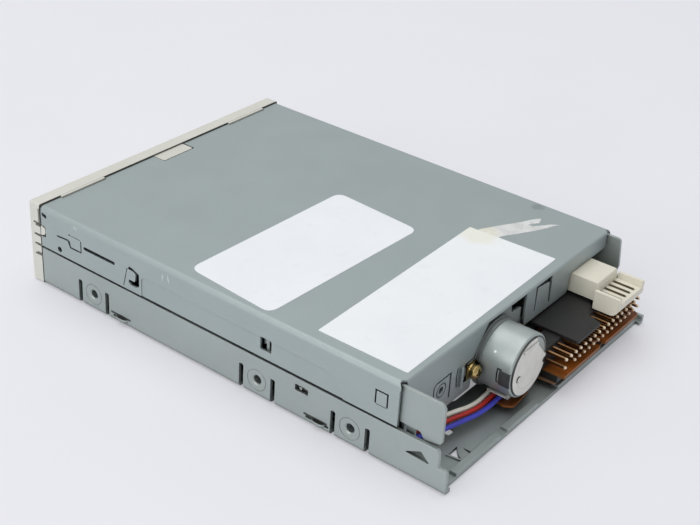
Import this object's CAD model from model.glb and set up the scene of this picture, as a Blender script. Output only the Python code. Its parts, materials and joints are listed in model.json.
import json
import math
import bpy
from mathutils import Vector, Matrix


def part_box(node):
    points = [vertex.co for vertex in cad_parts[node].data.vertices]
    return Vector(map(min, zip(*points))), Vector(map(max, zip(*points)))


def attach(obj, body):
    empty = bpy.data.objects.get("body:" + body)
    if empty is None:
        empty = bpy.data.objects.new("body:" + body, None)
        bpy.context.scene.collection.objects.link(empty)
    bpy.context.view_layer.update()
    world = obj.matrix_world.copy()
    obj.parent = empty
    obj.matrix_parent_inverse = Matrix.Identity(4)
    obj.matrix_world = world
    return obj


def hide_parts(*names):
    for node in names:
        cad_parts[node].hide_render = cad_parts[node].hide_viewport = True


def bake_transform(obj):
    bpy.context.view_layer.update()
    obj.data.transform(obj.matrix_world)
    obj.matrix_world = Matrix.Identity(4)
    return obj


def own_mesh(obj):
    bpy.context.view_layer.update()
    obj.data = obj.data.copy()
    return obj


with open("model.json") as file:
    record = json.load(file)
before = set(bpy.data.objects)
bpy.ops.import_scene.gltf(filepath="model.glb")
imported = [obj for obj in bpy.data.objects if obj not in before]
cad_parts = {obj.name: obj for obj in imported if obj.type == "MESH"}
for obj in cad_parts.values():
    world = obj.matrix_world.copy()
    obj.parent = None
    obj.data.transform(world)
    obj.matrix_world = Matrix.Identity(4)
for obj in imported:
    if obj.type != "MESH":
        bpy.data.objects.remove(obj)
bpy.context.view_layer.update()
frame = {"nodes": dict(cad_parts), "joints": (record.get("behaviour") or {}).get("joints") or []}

# A 3.5-inch floppy disk drive, as the photograph shows it.
# Sizes and places are in mm, apart from the camera, the lamps and the floor, which are in metres.
# X runs across the drive, Y from its front panel to the rear, and Z upwards.

MM = 0.001
joints = {joint["name"]: joint for joint in frame["joints"]}
PIN_SIDE = 0.64


def node_box(name):
    """Lowest and highest corners of a CAD node in mm, free of single precision's noise."""
    return [[round(part / MM, 4) for part in corner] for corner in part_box(name)]


def pin_columns(name, count):
    """Places across of a node's square pins, from the left column to the right one."""
    low, high = node_box(name)
    first, last = low[0] + PIN_SIDE / 2, high[0] - PIN_SIDE / 2
    return [first + (last - first) * index / (count - 1) for index in range(count)]


# Places taken from the frame

HALF_WIDTH = node_box("base_frame")[1][0]
SIDES = (-HALF_WIDTH, HALF_WIDTH)
COVER_TOP = node_box("top_cover")[1][2]
MOTOR_AXIS = [joints["lead_screw_turn"]["pos_m"][axis] / MM for axis in (0, 2)]
PIN_END = node_box("header_pins")[1][1]

# Camera of the photograph

CAMERA_AT = Vector((0.259503, 0.258868, 0.201809))
LOOKS_AT = Vector((0.0, 0.071027, 0.013897))
ROLL = math.radians(3.849)
SENSOR_WIDTH, LENS = 36.0, 67.78
camera_data = bpy.data.cameras.new("photo_camera")
camera_data.sensor_width = SENSOR_WIDTH
camera_data.lens = LENS
camera = bpy.data.objects.new("photo_camera", camera_data)
forward = (LOOKS_AT - CAMERA_AT).normalized()
right = forward.cross(Vector((0, 0, 1))).normalized()
up = right.cross(forward)
tilted_right = math.cos(ROLL) * right + math.sin(ROLL) * up
tilted_up = -math.sin(ROLL) * right + math.cos(ROLL) * up
rotation = Matrix((tilted_right, tilted_up, -forward)).transposed()
camera.matrix_world = Matrix.Translation(CAMERA_AT) @ rotation.to_4x4()
bpy.context.scene.collection.objects.link(camera)
bpy.context.scene.camera = camera


# Materials


def linear(colour):
    """A colour written as 0 to 255 per channel, as the shader's own values."""
    levels = [level / 255 for level in colour]
    return [level / 12.92 if level <= 0.04045 else ((level + 0.055) / 1.055) ** 2.4
            for level in levels] + [1.0]


def shade(colour, share):
    """A colour made darker, or lighter where the share is above 1."""
    return [min(255, level * share) for level in colour]


finishes = {}


class Finish:
    """One node material, whose methods add detail to its colour, roughness and relief."""

    def __init__(self, name, light, dark, cloud=12.0, roughness=(0.4, 0.5), metallic=0.0,
                 specular=0.5):
        finishes[name] = self
        self.material = bpy.data.materials.new(name)
        self.material.use_nodes = True
        self.tree = self.material.node_tree
        self.shader = self.tree.nodes["Principled BSDF"]
        self.shader.inputs["Metallic"].default_value = metallic
        self.shader.inputs["Specular IOR Level"].default_value = specular
        self.place = self.node("ShaderNodeTexCoord").outputs["Object"]
        self.normal = None
        clouds = self.noise(cloud, detail=4)
        self.colour = self.mix(self.between(clouds, 0.35, 0.65), linear(dark), linear(light))
        self.rough = self.between(self.noise(cloud * 0.6, detail=5), 0.3, 0.7, *roughness)

    def node(self, kind, **settings):
        """Adds a shader node."""
        made = self.tree.nodes.new(kind)
        for key, value in settings.items():
            setattr(made, key, value)
        return made

    def feed(self, socket, value):
        """Links a socket to another one, or sets its own value."""
        if isinstance(value, bpy.types.NodeSocket):
            self.tree.links.new(value, socket)
        else:
            socket.default_value = value

    def noise(self, size, detail=2.0, stretch=(1, 1, 1), harsh=0.5):
        """Noise whose largest features are about the size in mm."""
        spread = self.node("ShaderNodeMapping")
        self.feed(spread.inputs["Vector"], self.place)
        spread.inputs["Scale"].default_value = [1 / (size * MM * part) for part in stretch]
        made = self.node("ShaderNodeTexNoise")
        self.feed(made.inputs["Vector"], spread.outputs["Vector"])
        made.inputs["Scale"].default_value = 1.0
        made.inputs["Detail"].default_value = detail
        made.inputs["Roughness"].default_value = harsh
        return made.outputs["Fac"]

    def between(self, value, low, high, new_low=0.0, new_high=1.0):
        """Stretches a value between two limits, and holds it there."""
        made = self.node("ShaderNodeMapRange")
        self.feed(made.inputs["Value"], value)
        for name, limit in (("From Min", low), ("From Max", high), ("To Min", new_low),
                            ("To Max", new_high)):
            made.inputs[name].default_value = limit
        return made.outputs["Result"]

    def maths(self, operation, first, second=0.0):
        """A sum, product or other function of one or two values."""
        made = self.node("ShaderNodeMath", operation=operation)
        self.feed(made.inputs[0], first)
        self.feed(made.inputs[1], second)
        return made.outputs[0]

    def vector_maths(self, operation, first, second, result="Vector"):
        """The same for vectors, each a socket or three numbers."""
        made = self.node("ShaderNodeVectorMath", operation=operation)
        self.feed(made.inputs[0], first)
        self.feed(made.inputs[1], second)
        return made.outputs[result]

    def mix(self, share, first, second):
        """Mixes two colours."""
        made = self.node("ShaderNodeMix", data_type="RGBA")
        self.feed(made.inputs["Factor"], share)
        self.feed(made.inputs["A"], first)
        self.feed(made.inputs["B"], second)
        return made.outputs["Result"]

    def mix_colour(self, share, colour):
        """Lays a share of a colour over what is there."""
        self.colour = self.mix(share, self.colour, linear(colour))

    def split(self, vector, axis):
        """One of the three parts of a vector."""
        made = self.node("ShaderNodeSeparateXYZ")
        self.feed(made.inputs["Vector"], vector)
        return made.outputs[axis]

    def facing(self, axis):
        """1 on faces that look along an axis, and 0 on those square to it."""
        normal = self.node("ShaderNodeNewGeometry").outputs["Normal"]
        return self.maths("ABSOLUTE", self.split(normal, axis))

    def coordinate(self, axis):
        """A coordinate of the object, in metres."""
        return self.split(self.place, axis)

    def near(self, point, reach, ragged=0.0):
        """1 at a point of the object and 0 from the reach on, where the edge can be ragged."""
        distance = self.vector_maths("DISTANCE", self.place, [part * MM for part in point],
                                     "Value")
        if ragged:
            shift = self.between(self.noise(2.0, detail=3), 0.0, 1.0, -ragged * MM, ragged * MM)
            distance = self.maths("ADD", distance, shift)
        return self.between(distance, reach * MM, reach * MM * 0.5)

    def within(self, axis, low, high, soft):
        """1 where a coordinate in mm lies between two limits."""
        here = self.coordinate(axis)
        above = self.between(here, (low - soft) * MM, (low + soft) * MM)
        below = self.between(here, (high + soft) * MM, (high - soft) * MM)
        return self.maths("MULTIPLY", above, below)

    def patch(self, colour, strength, soft, **limits):
        """Colours a box, whose limits in mm are given by axis."""
        share = strength
        for axis, (low, high) in limits.items():
            share = self.maths("MULTIPLY", share, self.within(axis, low, high, soft))
        self.mix_colour(share, colour)

    def ring(self, axis_at, low, high, colour, strength, soft=0.05):
        """Colours a ring about an axis along Y, between two radii in mm."""
        offsets = []
        for axis, centre in zip("XZ", axis_at):
            offset = self.maths("SUBTRACT", self.coordinate(axis), centre * MM)
            offsets.append(self.maths("POWER", offset, 2.0))
        radius = self.maths("SQRT", self.maths("ADD", *offsets))
        inside = self.between(radius, (low - soft) * MM, (low + soft) * MM)
        outside = self.between(radius, (high + soft) * MM, (high - soft) * MM)
        share = self.maths("MULTIPLY", self.maths("MULTIPLY", inside, outside), strength)
        self.mix_colour(share, colour)

    def oval(self, point, halves, tilt):
        """1 inside an oval body, which is tilted about X, and 0 outside it."""
        offset = self.vector_maths("SUBTRACT", self.place, [part * MM for part in point])
        turned = self.node("ShaderNodeVectorRotate", rotation_type="X_AXIS")
        self.feed(turned.inputs["Vector"], offset)
        turned.inputs["Angle"].default_value = tilt
        scaled = self.vector_maths("DIVIDE", turned.outputs["Vector"],
                                   [part * MM for part in halves])
        length = self.vector_maths("LENGTH", scaled, (0, 0, 0), "Value")
        return self.between(length, 1.15, 0.8)

    def crevices(self, reach, colour, strength, open_at=0.42, closed_at=0.12):
        """Darkens slits and other narrow places, where little of the sky is seen."""
        hidden = self.node("ShaderNodeAmbientOcclusion", samples=3)
        hidden.inputs["Distance"].default_value = reach * MM
        share = self.between(hidden.outputs["AO"], open_at, closed_at, 0.0, strength)
        self.mix_colour(share, colour)

    def soft_edges(self, radius):
        """Rounds the look of sharp edges, and keeps where they are."""
        bevel = self.node("ShaderNodeBevel", samples=4)
        bevel.inputs["Radius"].default_value = radius * MM
        self.normal = bevel.outputs["Normal"]
        plain = self.node("ShaderNodeNewGeometry").outputs["Normal"]
        straight = self.vector_maths("DOT_PRODUCT", self.normal, plain, "Value")
        self.edge = self.maths("SUBTRACT", 1.0, straight)

    def worn_edges(self, colour, strength):
        """Rubs the edges that soft_edges found."""
        worn = self.between(self.edge, 0.004, 0.12, 0.0, strength)
        patches = self.between(self.noise(1.2, detail=3), 0.35, 0.6, 0.3, 1.0)
        self.mix_colour(self.maths("MULTIPLY", worn, patches), colour)

    def worn_bends(self, colour, strength):
        """Rubs the rounded folds of a sheet, which look along no axis."""
        flattest = self.facing("X")
        for axis in "YZ":
            flattest = self.maths("MAXIMUM", flattest, self.facing(axis))
        self.mix_colour(self.between(flattest, 0.97, 0.8, 0.0, strength), colour)

    def specks(self, size, colour, strength, low=0.62, high=0.75):
        """Fine specks of another colour."""
        share = self.between(self.noise(size, detail=2, harsh=0.6), low, high, 0.0, strength)
        self.mix_colour(share, colour)

    def scratches(self, size, length, colour, strength, along=(0, 1, 0)):
        """Thin marks along an axis of the object, the length times as long as they are wide."""
        stretch = [length if part else 1.0 for part in along]
        marks = self.noise(size, detail=3, stretch=stretch, harsh=0.7)
        self.mix_colour(self.between(marks, 0.64, 0.74, 0.0, strength), colour)

    def raise_by(self, height, depth):
        """Adds relief, whose full height is the depth in mm."""
        bump = self.node("ShaderNodeBump")
        bump.inputs["Distance"].default_value = depth * MM
        bump.inputs["Strength"].default_value = 1.0
        self.feed(bump.inputs["Height"], height)
        if self.normal is not None:
            self.feed(bump.inputs["Normal"], self.normal)
        self.normal = bump.outputs["Normal"]

    def grain(self, size, depth, detail=3):
        """Adds even relief of one size."""
        self.raise_by(self.noise(size, detail=detail, harsh=0.6), depth)

    def done(self):
        """Feeds the shader, and gives the finished material."""
        self.feed(self.shader.inputs["Base Color"], self.colour)
        self.feed(self.shader.inputs["Roughness"], self.rough)
        if self.normal is not None:
            self.feed(self.shader.inputs["Normal"], self.normal)
        return self.material


def steel(name, light, dark, worn=(214, 220, 218), roughness=(0.4, 0.52), metallic=0.5,
          cloud=18.0, edge=0.25, grain=0.003, bends=0.0, marks=0.12, spangle=0.25):
    """Zinc-coated sheet: clouds, fine spangle, faint rolling lines and rubbed edges."""
    made = Finish(name, light, dark, cloud, roughness, metallic)
    made.soft_edges(edge)
    made.specks(0.5, shade(dark, 0.95), spangle, 0.5, 0.72)
    made.scratches(0.22, 60, worn, marks)
    made.scratches(0.3, 30, worn, marks * 0.5, along=(1, 0, 0))
    made.specks(4.0, shade(dark, 0.9), marks, 0.62, 0.74)
    if bends:
        made.worn_bends(worn, bends)
    made.worn_edges(worn, 0.5)
    made.crevices(3.4, (16, 17, 17), 0.96, 0.5, 0.29)
    made.grain(0.35, grain)
    made.grain(14.0, 0.006, detail=1)
    return made


def plastic(name, light, dark, roughness=(0.42, 0.55), grain=0.006, edge=0.2, worn=None,
            dirt=0.7):
    """Moulded plastic: a fine spark-eroded grain, faint clouds and a dull bloom."""
    made = Finish(name, light, dark, 14.0, roughness)
    made.soft_edges(edge)
    made.specks(0.8, shade(dark, 0.92), 0.25, 0.6, 0.8)
    made.worn_edges(worn or [min(255, level * 1.06 + 6) for level in light], 0.35)
    made.crevices(0.9, shade(dark, 0.25), dirt)
    made.grain(0.35, grain)
    return made


GRIME = (58, 60, 58)
HOLE = (20, 21, 21)
RUBBED = (212, 219, 219)
SEAM = (44, 46, 46)

# Steel of the cover: grime behind the front panel, a smudge, a dark cut and scuffs

SMUDGE = (-47.7, 102.5, COVER_TOP)
CUT = (HALF_WIDTH, 1.9, 22.7)
SCUFFS = ((47.8, 21.7, 0.24, 1.2, 0.12), (49.9, 22.0, 0.26, 1.2, -0.24),
          (14.6, 23.4, 0.9, 0.3, 0.3))
cover = steel("cover_steel", (166, 177, 177), (163, 174, 174), marks=0.06, spangle=0.14)
cover.patch(GRIME, 0.75, 0.1, Y=(0.0, 0.65), Z=(18.9, 24.3))
cover.mix_colour(cover.maths("MULTIPLY", cover.near(SMUDGE, 2.4, 1.2), 0.25), GRIME)
cover.mix_colour(cover.oval(CUT, (0.6, 1.1, 0.5), 0.56), HOLE)
for along, height, half_along, half_height, tilt in SCUFFS:
    scuff = cover.oval((HALF_WIDTH, along, height), (0.6, half_along, half_height), tilt)
    rubbed = cover.between(cover.noise(0.4, detail=3), 0.35, 0.6, 0.25, 0.7)
    cover.mix_colour(cover.maths("MULTIPLY", scuff, rubbed), RUBBED)

# Steel of the tray: grime behind the front panel and a dark slit above each tongue

SLITS, SLIT_HEIGHTS = ((27.8, 35.4), (96.6, 104.1)), (2.3, 2.95)
tray = steel("tray_steel", (168, 177, 175), (163, 172, 170), bends=0.15, marks=0.09,
             roughness=(0.38, 0.54))
tray.patch(GRIME, 0.85, 0.02, Y=(0.0, 0.3))
for side in SIDES:
    for ends in SLITS:
        tray.patch(HOLE, 0.9, 0.08, X=(side - 0.5, side + 0.5), Y=ends, Z=SLIT_HEIGHTS)

# Steel of the stepper's can: its rolled seams and one bright dot

BRIGHT_DOT = (16.3, 129.2, 18.83)
motor = steel("motor_steel", (176, 184, 183), (167, 176, 175), worn=(216, 221, 219),
              roughness=(0.36, 0.46), metallic=0.55, cloud=7.0, edge=0.2)
motor.ring(MOTOR_AXIS, 7.9, 8.35, SEAM, 0.9)
motor.ring(MOTOR_AXIS, 9.28, 9.45, (84, 87, 86), 0.6)
motor.mix_colour(motor.near(BRIGHT_DOT, 0.45), (240, 242, 241))

# Cap of the stepper: its seam, the edge of a small hole and a pressed circle

CAP_HOLE = (14.2, 12.2)
cap = steel("cap_steel", (236, 235, 230), (224, 223, 218), worn=(248, 248, 245),
            roughness=(0.4, 0.52), metallic=0.2, cloud=5.0, edge=0.15)
cap.ring(MOTOR_AXIS, 7.95, 8.4, SEAM, 0.9)
cap.ring(CAP_HOLE, 0.75, 1.0, (52, 54, 54), 0.9)
cap.ring(MOTOR_AXIS, 5.95, 6.1, (168, 168, 164), 0.5)

# Other metals

steel("slide_steel", (164, 171, 169), (152, 159, 157), roughness=(0.34, 0.5), marks=0.2)
steel("flap_steel", (112, 119, 118), (102, 108, 107), worn=(176, 183, 181), marks=0.1)
steel("bright_steel", (215, 217, 215), (200, 202, 201), worn=(235, 236, 234),
      roughness=(0.14, 0.26), metallic=1.0, cloud=6.0, edge=0.12, grain=0.001)
steel("spring_steel", (186, 188, 188), (160, 162, 164), roughness=(0.2, 0.34), metallic=1.0,
      cloud=3.0, edge=0.05, grain=0.001)
steel("motor_insert", (80, 82, 82), (66, 68, 68), worn=(120, 122, 122), metallic=0.2, cloud=2.0)
steel("rotor_steel", (188, 193, 192), (174, 180, 180), roughness=(0.3, 0.42), metallic=0.8)
steel("core_steel", (122, 124, 128), (96, 98, 103), roughness=(0.35, 0.5), metallic=0.7,
      cloud=2.0)
steel("screw_steel", (196, 186, 152), (168, 157, 122), worn=(232, 222, 188),
      roughness=(0.24, 0.38), metallic=0.9, cloud=1.5, edge=0.12)
steel("brass", (206, 182, 124), (172, 146, 92), worn=(248, 232, 180), roughness=(0.16, 0.3),
      metallic=1.0, cloud=1.6, edge=0.1, marks=0.3)

# Plastic of the front panel: grime at its rear edges and in the grooves of its ends

GROOVES = (18.75, 15.6, 12.5, 9.6)
panel = plastic("bezel_plastic", (211, 211, 203), (205, 205, 196), roughness=(0.5, 0.6))
panel.patch(GRIME, 0.9, 0.01, Y=(-0.06, 0.04))
for side in SIDES:
    end_face = (side - 0.3, side + 0.3)
    panel.patch((84, 86, 82), 0.85, 0.15, X=end_face, Y=(-0.7, 0.1), Z=(19.1, 24.0))
    for groove in GROOVES:
        panel.patch((66, 65, 58), 0.9, 0.1, X=end_face, Y=(-1.9, 0.1),
                    Z=(groove - 0.45, groove + 0.35))

# Plastic of the power connector: a dark slot at each pin

POWER_PINS = 4
SLOT_HALF = 0.62
shroud = plastic("cream_plastic", (230, 226, 211), (223, 219, 202), roughness=(0.38, 0.5),
                 grain=0.004)
for column in pin_columns("power_pins", POWER_PINS):
    shroud.patch((92, 78, 56), 0.9, 0.1, X=(column - SLOT_HALF, column + SLOT_HALF),
                 Y=(128.9, 139.6), Z=(14.5, 16.9))

# Plastic of the stepper's terminal block: dark above its foot

bobbin = plastic("bobbin_plastic", (228, 228, 224), (216, 216, 212))
bobbin.mix_colour(bobbin.between(bobbin.coordinate("Z"), 5.9 * MM, 6.3 * MM), (62, 62, 64))

# Other plastics

plastic("magnet", (64, 64, 66), (48, 48, 50), roughness=(0.5, 0.65))
plastic("white_plastic", (234, 234, 228), (224, 224, 217))
plastic("black_plastic", (32, 31, 32), (22, 22, 23), roughness=(0.45, 0.6), worn=(62, 61, 62),
        grain=0.004)
plastic("carriage_plastic", (60, 62, 66), (44, 46, 50))
plastic("arm_plastic", (214, 212, 200), (198, 196, 184))
plastic("switch_plastic", (70, 72, 78), (56, 58, 62))
plastic("head_ceramic", (92, 78, 64), (70, 58, 48), roughness=(0.16, 0.28))
plastic("insulator", (134, 104, 78), (112, 84, 60), roughness=(0.3, 0.45), grain=0.003)
plastic("flex_film", (186, 120, 52), (158, 96, 38), roughness=(0.25, 0.4), grain=0.002)
plastic("green_board", (60, 100, 68), (42, 76, 50), roughness=(0.3, 0.5))

# Sheaths of the stepper's leads

LEADS = (("white_lead", (250, 247, 236), (242, 239, 226)),
         ("red_lead", (204, 54, 46), (184, 42, 36)),
         ("blue_lead", (78, 80, 208), (62, 64, 182)))
for name, light, dark in LEADS:
    plastic(name, light, dark, roughness=(0.35, 0.5), grain=0.003, edge=0.05, dirt=0.1)

# Pins of the connectors

TIP_LENGTH = 0.25


def pins(name, lit, shaded, halo, tip):
    """Plated pins: coppery along their length, and bright at the cut tips."""
    made = Finish(name, lit, shade(lit, 0.93), 2.0, (0.28, 0.38))
    made.soft_edges(0.08)
    made.mix_colour(made.between(made.facing("Z"), 0.75, 0.35), shaded)
    tip_start = PIN_END - TIP_LENGTH
    pointed = made.between(made.coordinate("Y"), (tip_start - 0.1) * MM, (tip_start + 0.1) * MM)
    made.mix_colour(pointed, halo)
    cut = made.between(made.facing("Y"), 0.7, 0.9)
    made.mix_colour(cut, tip)
    made.feed(made.shader.inputs["Metallic"], made.between(cut, 0.0, 1.0, 0.7, 0.05))
    made.grain(0.3, 0.001)


pins("plated_pins", (190, 146, 102), (82, 48, 22), (255, 232, 198), (255, 255, 246))
pins("tinned_pins", (136, 120, 92), (92, 78, 56), (136, 120, 92), (180, 168, 144))

# See-through plastics


def clear_plastic(name, light, dark):
    """Tinted see-through plastic."""
    made = Finish(name, light, dark, 3.0, (0.12, 0.24))
    made.soft_edges(0.15)
    made.specks(0.4, shade(light, 0.85), 0.3)
    made.grain(0.8, 0.004)
    made.shader.inputs["Transmission Weight"].default_value = 0.35
    made.shader.inputs["IOR"].default_value = 1.5


clear_plastic("light_window", (196, 214, 190), (176, 198, 172))
clear_plastic("led_plastic", (150, 196, 120), (124, 172, 98))

# Copper of the spindle's coils


def copper():
    """Enamelled wire, wound in fine turns."""
    made = Finish("copper_wire", (186, 104, 58), (150, 76, 40), 2.0, (0.25, 0.38), metallic=0.7)
    lines = made.node("ShaderNodeTexWave", wave_type="RINGS", rings_direction="Z")
    made.feed(lines.inputs["Vector"], made.place)
    lines.inputs["Scale"].default_value = 900
    lines.inputs["Distortion"].default_value = 1.5
    made.mix_colour(made.between(lines.outputs["Fac"], 0.0, 0.35, 0.7, 0.0), (84, 40, 22))
    made.raise_by(lines.outputs["Fac"], 0.08)


copper()

# Main board


def board():
    """Phenolic paper board: dark lacquer above, bare cut edges, tracks and pads in relief."""
    made = Finish("main_board", (136, 76, 18), (108, 56, 12), 8.0, (0.34, 0.46), specular=0.25)
    made.soft_edges(0.08)
    tracks = made.node("ShaderNodeTexBrick", offset=0.35, offset_frequency=3, squash=0.6,
                       squash_frequency=2)
    made.feed(tracks.inputs["Vector"], made.place)
    for socket, value in (("Scale", 330), ("Mortar Size", 0.06), ("Mortar Smooth", 0.4),
                          ("Color1", (0, 0, 0, 1)), ("Color2", (0, 0, 0, 1)),
                          ("Mortar", (1, 1, 1, 1))):
        tracks.inputs[socket].default_value = value
    level = made.between(tracks.outputs["Fac"], 0.2, 0.8)
    flat = made.between(made.facing("Z"), 0.6, 0.9)
    raised = made.maths("MULTIPLY", level, flat)
    made.mix_colour(made.maths("MULTIPLY", raised, 0.5), (150, 82, 28))
    made.mix_colour(made.maths("SUBTRACT", 1.0, flat), (132, 80, 34))
    made.crevices(3.2, (34, 18, 8), 0.75, 0.8, 0.35)
    fibres = made.noise(0.5, detail=3, stretch=(6, 6, 0.4))
    made.mix_colour(made.between(fibres, 0.5, 0.7, 0.0, 0.3), (104, 52, 22))
    made.raise_by(raised, 0.035)
    made.grain(0.4, 0.004)


board()

# Papers of the labels

PAPER_SHEET = 0.1
STAIN = (-21.5, 99.0, COVER_TOP + PAPER_SHEET)
YELLOWED = (-23.5, 99.5, COVER_TOP)


def paper(name, light, dark):
    """Label stock with a satin face: faint fibres, a little dirt and a soft cockle."""
    made = Finish(name, light, dark, 22.0, (0.42, 0.55), specular=0.35)
    made.soft_edges(0.05)
    made.specks(0.25, shade(dark, 0.97), 0.35, 0.5, 0.75)
    made.specks(5.0, shade(dark, 0.965), 0.4, 0.6, 0.75)
    made.grain(0.3, 0.002)
    made.grain(11.0, 0.02, detail=1)
    return made


paper("round_paper", (237, 240, 243), (233, 236, 240))
stained = paper("plain_paper", (238, 242, 244), (234, 238, 241))
stained.mix_colour(stained.maths("MULTIPLY", stained.near(STAIN, 7.0, 2.2), 0.7),
                   (231, 230, 214))


def torn_paper():
    """What stays of a label that was pulled off: a thin grey-white skin with paler edges."""
    made = Finish("torn_paper", (224, 225, 224), (204, 205, 205), 4.0, (0.6, 0.75), specular=0.3)
    made.scratches(0.5, 8, (238, 241, 239), 0.8, along=(1, 1, 0))
    made.specks(1.2, (180, 182, 182), 0.6, 0.55, 0.7)
    made.mix_colour(made.maths("MULTIPLY", made.near(YELLOWED, 5.5, 1.0), 0.5), (232, 228, 204))
    made.grain(0.5, 0.01)


torn_paper()

# Each node gets the finish that is named as its material is, apart from two

OWN_FINISH = {"stepper_terminal": "bobbin_plastic", "power_pins": "tinned_pins"}
materials = {name: made.done() for name, made in finishes.items()}
for name, thing in frame["nodes"].items():
    for place in thing.material_slots:
        slot_name = OWN_FINISH.get(name, place.material.name.split(".")[0])
        place.material = materials[slot_name]


# Pieces of the scene's own, each made from a shape: its points in mm and its faces


def piece(name, shape, finish, body, smooth=35):
    """A mesh piece, which rides on a body if one is named."""
    points, faces = shape
    mesh = bpy.data.meshes.new(name)
    mesh.from_pydata([[part * MM for part in point] for point in points], [], faces)
    mesh.polygons.foreach_set("use_smooth", [True] * len(mesh.polygons))
    mesh.set_sharp_from_angle(angle=math.radians(smooth))
    mesh.update()
    thing = bpy.data.objects.new(name, mesh)
    bpy.context.scene.collection.objects.link(thing)
    thing.data.materials.append(materials[finish])
    if body:
        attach(thing, body)
    return thing


def swept(rings):
    """A closed shape through rings of points, which turn right-handed about its course."""
    sides = len(rings[0])
    points = [point for ring in rings for point in ring]
    last = len(points) - sides
    faces = []
    for low in range(0, last, sides):
        high = low + sides
        for side in range(sides):
            beside = (side + 1) % sides
            faces.append((low + side, low + beside, high + beside, high + side))
    faces.append(tuple(range(sides - 1, -1, -1)))
    faces.append(tuple(range(last, last + sides)))
    return points, faces


def joined(shapes):
    """Several shapes as one."""
    points, faces = [], []
    for more_points, more_faces in shapes:
        faces += [tuple(index + len(points) for index in face) for face in more_faces]
        points += more_points
    return points, faces


def mirrored(shape):
    """The same shape on the other side of the centre line."""
    points, faces = shape
    return [(-x, y, z) for x, y, z in points], [tuple(reversed(face)) for face in faces]


def wire(path, radius, sides):
    """A round wire along a path."""
    rings = []
    heading = (path[1] - path[0]).normalized()
    across = heading.orthogonal().normalized()
    for index, centre in enumerate(path):
        before, after = path[max(index - 1, 0)], path[min(index + 1, len(path) - 1)]
        turned = (after - before).normalized()
        across = heading.rotation_difference(turned) @ across
        across = (across - across.dot(turned) * turned).normalized()
        heading = turned
        other = heading.cross(across)
        angles = [math.tau * side / sides for side in range(sides)]
        rings.append([centre + radius * (math.cos(angle) * across + math.sin(angle) * other)
                      for angle in angles])
    return swept(rings)


def coil(start, axis, radius, length, turns, closed, per_turn=28):
    """The centreline of a coil spring, whose closed turns lie half at each end."""
    across = axis.orthogonal().normalized()
    other = axis.cross(across)
    path = []
    steps = turns * per_turn
    for step in range(steps + 1):
        turn = turns * step / steps
        share = (turn - closed * 0.5) / (turns - closed)
        along = length * min(1.0, max(0.0, share))
        angle = math.tau * turn
        path.append(start + along * axis
                    + radius * (math.cos(angle) * across + math.sin(angle) * other))
    return path


def rounded(corners, radius, steps):
    """An outline whose corners are rounded."""
    outline = []
    count = len(corners)
    for index, corner in enumerate(corners):
        here = Vector(corner)
        back = (Vector(corners[index - 1]) - here).normalized()
        ahead = (Vector(corners[(index + 1) % count]) - here).normalized()
        start, end = here + radius * back, here + radius * ahead
        for step in range(steps + 1):
            share = step / steps
            outline.append((1 - share) ** 2 * start + 2 * share * (1 - share) * here
                           + share ** 2 * end)
    return outline


def skin(outline, low, high, inset=0.05):
    """A flat skin over an outline that turns left, with a thin edge that is eased at its top."""
    outline = [Vector(point) for point in outline]
    inner = []
    for index, here in enumerate(outline):
        along = (outline[(index + 1) % len(outline)] - outline[index - 1]).normalized()
        inner.append(here + inset * Vector((-along.y, along.x)))
    eased = low + (high - low) * 0.6
    return swept([[(*point, level) for point in edge]
                  for edge, level in ((outline, low), (outline, eased), (inner, high))])


# Labels on the cover

ROUND_LABEL = [(46.4, 53.6), (48.6, 82.8), (-11.8, 85.0), (-13.9, 55.4)]
PLAIN_LABEL = [(46.4, 96.4), (46.2, 123.2), (-24.8, 121.8), (-23.5, 94.7)]
ROUND_CORNER, PLAIN_CORNER = 3.2, 0.4
LABEL_TOP = COVER_TOP + PAPER_SHEET
piece("round_label", skin(rounded(ROUND_LABEL, ROUND_CORNER, 8), COVER_TOP, LABEL_TOP),
      "round_paper", "case")
piece("plain_label", skin(rounded(PLAIN_LABEL, PLAIN_CORNER, 3), COVER_TOP, LABEL_TOP),
      "plain_paper", "case")

# What stays of a torn label

STREAK_SHEET, STREAK_INSET = 0.04, 0.02
STREAK = [
    (-23.6, 97.2), (-23.2, 104.2), (-24.7, 103.9), (-26.7, 104.9), (-28.6, 106.1), (-30.8, 107.3),
    (-33.1, 108.6), (-35.4, 109.8), (-37.9, 110.9), (-40.4, 111.7), (-41.8, 112.4), (-42.6, 113.1),
    (-41.2, 111.0), (-39.6, 109.9), (-37.8, 108.6), (-36.4, 107.4), (-36.2, 106.0), (-37.4, 106.8),
    (-38.5, 107.3), (-39.5, 108.0), (-40.2, 107.4), (-41.0, 107.5), (-42.0, 106.9), (-41.3, 106.2),
    (-39.6, 105.2), (-36.4, 103.8), (-33.2, 102.1), (-30.2, 100.3), (-27.2, 98.8), (-24.7, 97.5)]
piece("torn_label_streak", skin(STREAK, COVER_TOP, COVER_TOP + STREAK_SHEET, STREAK_INSET),
      "torn_paper", "case")

# Coils of the eject springs, in the room of their CAD node, which shorten as the slide moves

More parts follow.
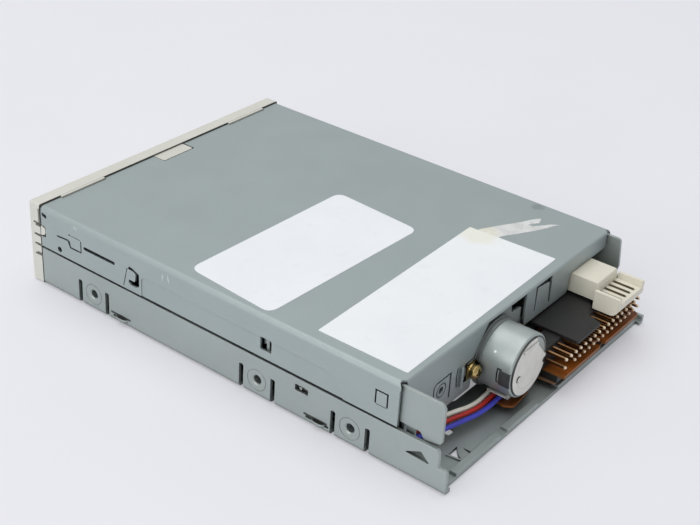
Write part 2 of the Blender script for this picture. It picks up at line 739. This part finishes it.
SPRING_ACROSS, SPRING_WIRE, WIRE_SIDES = 36.0, 0.17, 10
SPRING_TURNS, SPRING_CLOSED = 17, 2.4
spring_low, spring_high = node_box("eject_springs")
spring_height = (spring_low[2] + spring_high[2]) / 2
spring_radius = (spring_high[2] - spring_low[2]) / 2 - SPRING_WIRE
spring_length = spring_high[1] - spring_low[1]
eject_coils = []
for across in (SPRING_ACROSS, -SPRING_ACROSS):
    start = Vector((across, spring_low[1] + SPRING_WIRE, spring_height))
    path = coil(start, Vector((0, 1, 0)), spring_radius, spring_length - 2 * SPRING_WIRE,
                SPRING_TURNS, SPRING_CLOSED)
    eject_coils.append(wire(path, SPRING_WIRE, WIRE_SIDES))
springs = piece("eject_spring_coils", joined(eject_coils), "spring_steel", "case")
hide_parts("eject_springs")
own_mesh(springs)

# Tips of the signal pins, cut to blunt points: one pin is left out as a key

SIGNAL_COLUMNS, SIGNAL_ROWS = 17, 2
KEY_PIN = (1, 0)
TIP_SECTIONS = ((-0.15, 0.325), (0.01, 0.325), (0.33, 0.24))
signal_columns = pin_columns("header_pins", SIGNAL_COLUMNS)[::-1]
pin_pitch = signal_columns[0] - signal_columns[1]
low_row = node_box("header_pins")[1][2] - PIN_SIDE / 2 - pin_pitch


def blunt_tip(across, up):
    """A pin's pointed end, by sections: each a place past the pin and half a side."""
    corners = ((-1, -1), (-1, 1), (1, 1), (1, -1))
    return swept([[(across + x * half, PIN_END + past, up + z * half) for x, z in corners]
                  for past, half in TIP_SECTIONS])


tips = [blunt_tip(across, low_row + pin_pitch * row) for row in range(SIGNAL_ROWS)
        for column, across in enumerate(signal_columns) if (column, row) != KEY_PIN]
piece("pin_tips", joined(tips), "plated_pins", "case", smooth=20)

# Tongues that are pushed out below the slits of the tray's walls

TONGUES = ((32.0, 2.3), (101.3, 2.1))
TONGUE_WALL = HALF_WIDTH - 0.02
TONGUE_SHEET, TONGUE_TOP, TONGUE_DROP, TONGUE_BULGE = 0.3, 2.2, 1.7, 0.9
TONGUE_COLUMNS, TONGUE_ROWS = 16, 8


def tongue(middle, half):
    """A half-round tongue, dished out of the right wall, by its middle and half its length."""
    wide = TONGUE_COLUMNS + 1
    points, faces = [], []
    for row in range(TONGUE_ROWS + 1):
        for column in range(wide):
            along = -1 + 2 * column / TONGUE_COLUMNS
            deep = row / TONGUE_ROWS
            reach = TONGUE_DROP * math.sqrt(1 - along * along * 0.98)
            swell = TONGUE_BULGE * (1 - deep ** 2) * (1 - along ** 4)
            points.append((TONGUE_WALL + swell, middle + along * half,
                           TONGUE_TOP - reach * deep))
    count = len(points)
    points += [(x - TONGUE_SHEET, y, z) for x, y, z in points]
    for row in range(TONGUE_ROWS):
        for column in range(TONGUE_COLUMNS):
            start = row * wide + column
            face = (start + wide, start + wide + 1, start + 1, start)
            faces.append(face)
            faces.append(tuple(index + count for index in reversed(face)))
    rim = list(range(wide))
    rim += [row * wide + TONGUE_COLUMNS for row in range(1, TONGUE_ROWS)]
    rim += list(range(count - 1, count - wide - 1, -1))
    rim += [row * wide for row in range(TONGUE_ROWS - 1, 0, -1)]
    for here, ahead in zip(rim, rim[1:] + rim[:1]):
        faces.append((here, ahead, ahead + count, here + count))
    return points, faces


tongues = [tongue(middle, half) for middle, half in TONGUES]
piece("wall_tongues", joined(tongues + [mirrored(shape) for shape in tongues]), "tray_steel",
      "case")

# Flaps of the three-cornered cuts in the tray's walls, bent inwards

FLAP_WALL = HALF_WIDTH - 0.98
FLAP_SHEET = 0.5
FLAP = [Vector((FLAP_WALL, 127.2, 7.0)), Vector((FLAP_WALL, 131.9, 9.2)),
        Vector((46.9, 134.2, 6.8))]
through = (FLAP[1] - FLAP[0]).cross(FLAP[2] - FLAP[0]).normalized() * FLAP_SHEET
flap = swept([FLAP, [corner + through for corner in FLAP]])
piece("wall_flaps", joined([flap, mirrored(flap)]), "flap_steel", "case")

# Dark insert in the window of the stepper's can

WINDOW_PROUD, WINDOW_SHEET = 0.06, 0.5
WINDOW_FRONT, WINDOW_MARGIN = 131.9, 0.1
WINDOW_TURN, WINDOW_STEPS = (-0.325, 0.185), 14
can_low, can_high = node_box("stepper_can")


def window_plate():
    """A plate rolled about the motor's axis, between two angles."""
    outer = (can_high[0] - can_low[0]) / 2 + WINDOW_PROUD
    inner = outer - WINDOW_SHEET
    front, rear = WINDOW_FRONT, can_high[1] - WINDOW_MARGIN
    first, last = WINDOW_TURN
    rings = []
    for step in range(WINDOW_STEPS + 1):
        angle = first + (last - first) * step / WINDOW_STEPS
        rings.append([(MOTOR_AXIS[0] + reach * math.cos(angle), y,
                       MOTOR_AXIS[1] + reach * math.sin(angle))
                      for reach, y in ((outer, front), (outer, rear), (inner, rear),
                                       (inner, front))])
    return swept(rings)


piece("motor_window", window_plate(), "motor_insert", "case")

# Ears of the stepper's board, which carry the ends of its leads

EAR_INSET = 0.02
EAR_OUTLINE = [
    (13.9, 126.0), (14.3, 126.1), (15.5, 126.9), (15.9, 127.9), (15.6, 128.7), (15.1, 129.2),
    (15.7, 129.8), (15.9, 130.5), (15.6, 131.2), (15.1, 131.7), (15.6, 132.3), (15.7, 133.0),
    (15.3, 133.7), (14.5, 134.9), (14.1, 135.2), (13.9, 135.3)]
board_low, board_high = [corner[2] for corner in node_box("stepper_board")]
piece("board_ears", skin(EAR_OUTLINE, board_low + EAR_INSET, board_high - EAR_INSET),
      "main_board", "case")

# Ribbon of the heads: it lies on the board, folds back and ends under the carriage

RIBBON_SHEET = 0.15
RIBBON_FOLD, RIBBON_END = 116.95, 104.0
LIE_STEPS, FOLD_STEPS, RETURN_STEPS = 12, 24, 8
flex_low, flex_high = node_box("head_flex")
ribbon_low = flex_low[2] + RIBBON_SHEET / 2
ribbon_high = flex_high[2] - RIBBON_SHEET / 2


def ribbon():
    """A flat ribbon that is folded back on itself."""
    radius, centre = (ribbon_high - ribbon_low) / 2, (ribbon_low + ribbon_high) / 2
    path = []
    for step in range(LIE_STEPS):
        along = (RIBBON_FOLD - flex_low[1]) * step / LIE_STEPS
        path.append((flex_low[1] + along, ribbon_low, 0.0, -1.0))
    for step in range(FOLD_STEPS + 1):
        angle = math.pi * (step / FOLD_STEPS - 0.5)
        out, up = math.cos(angle), math.sin(angle)
        path.append((RIBBON_FOLD + radius * out, centre + radius * up, out, up))
    for step in range(1, RETURN_STEPS + 1):
        along = (RIBBON_FOLD - RIBBON_END) * step / RETURN_STEPS
        path.append((RIBBON_FOLD - along, ribbon_high, 0.0, 1.0))
    half = RIBBON_SHEET / 2
    corners = ((flex_low[0], half), (flex_low[0], -half), (flex_high[0], -half),
               (flex_high[0], half))
    return swept([[(across, y + reach * out, z + reach * up) for across, reach in corners]
                  for y, z, out, up in path])


head_ribbon = piece("head_ribbon", ribbon(), "flex_film", None)
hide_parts("head_flex")
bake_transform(head_ribbon)


# Floor, whose shadows are opened up a little where the camera sees them

FLOOR_REACH, FLOOR_LEVEL = 3.0, -0.0002
OPEN_SHADOW = 0.35
floor_finish = Finish("floor_paper", (234, 234, 239), (232, 232, 237), 60.0, (0.75, 0.85),
                      specular=0.2)
floor_finish.specks(0.8, (224, 224, 230), 0.25)
floor_finish.grain(0.5, 0.01)
floor_material = floor_finish.done()
seen = floor_finish.node("ShaderNodeLightPath").outputs
direct = floor_finish.maths("MAXIMUM", seen["Is Camera Ray"], seen["Is Glossy Ray"])
direct = floor_finish.maths("MAXIMUM", direct, seen["Is Transmission Ray"])
glow = floor_finish.node("ShaderNodeEmission")
glow.inputs["Color"].default_value = linear((232, 233, 238))
both = floor_finish.node("ShaderNodeMixShader")
floor_finish.feed(both.inputs["Fac"], floor_finish.maths("MULTIPLY", direct, OPEN_SHADOW))
floor_finish.feed(both.inputs[1], floor_finish.shader.outputs["BSDF"])
floor_finish.feed(both.inputs[2], glow.outputs["Emission"])
output = floor_finish.tree.nodes["Material Output"]
floor_finish.feed(output.inputs["Surface"], both.outputs["Shader"])
floor_mesh = bpy.data.meshes.new("floor")
floor_mesh.from_pydata([(x * FLOOR_REACH, y * FLOOR_REACH, FLOOR_LEVEL)
                        for x, y in ((-1, -1), (1, -1), (1, 1), (-1, 1))], [], [(0, 1, 2, 3)])
floor_mesh.materials.append(floor_material)
floor = bpy.data.objects.new("floor", floor_mesh)
bpy.context.scene.collection.objects.link(floor)

# World, a little brighter in front of the drive than behind it

world = bpy.data.worlds.new("studio")
bpy.context.scene.world = world
world.use_nodes = True
background = world.node_tree.nodes["Background"]
background.inputs["Color"].default_value = linear((238, 239, 241))
direction = world.node_tree.nodes.new("ShaderNodeTexCoord")
axes = world.node_tree.nodes.new("ShaderNodeSeparateXYZ")
dimmer = world.node_tree.nodes.new("ShaderNodeMapRange")
world.node_tree.links.new(direction.outputs["Generated"], axes.inputs["Vector"])
world.node_tree.links.new(axes.outputs["Y"], dimmer.inputs["Value"])
world.node_tree.links.new(dimmer.outputs["Result"], background.inputs["Strength"])
for limit, amount in (("From Min", -1.0), ("From Max", 1.0), ("To Min", 0.76), ("To Max", 0.5)):
    dimmer.inputs[limit].default_value = amount

# Lamps

LIT_AT = Vector((0, 0.07, 0))
LAMP_TINT = (1.0, 0.995, 0.985)


def lamp(name, at, side, power):
    """A square lamp that is turned towards the drive."""
    data = bpy.data.lights.new(name, "AREA")
    data.shape = "SQUARE"
    data.size = side
    data.energy = power
    data.color = LAMP_TINT
    thing = bpy.data.objects.new(name, data)
    turn = (LIT_AT - Vector(at)).to_track_quat("-Z", "Y").to_matrix().to_4x4()
    thing.matrix_world = Matrix.Translation(at) @ turn
    bpy.context.scene.collection.objects.link(thing)


lamp("overhead", (0.0, -0.1, 1.1), 1.2, 5.6)
lamp("window", (1.15, -0.05, 0.6), 1.0, 5.5)
bpy.context.scene.view_settings.view_transform = "Standard"
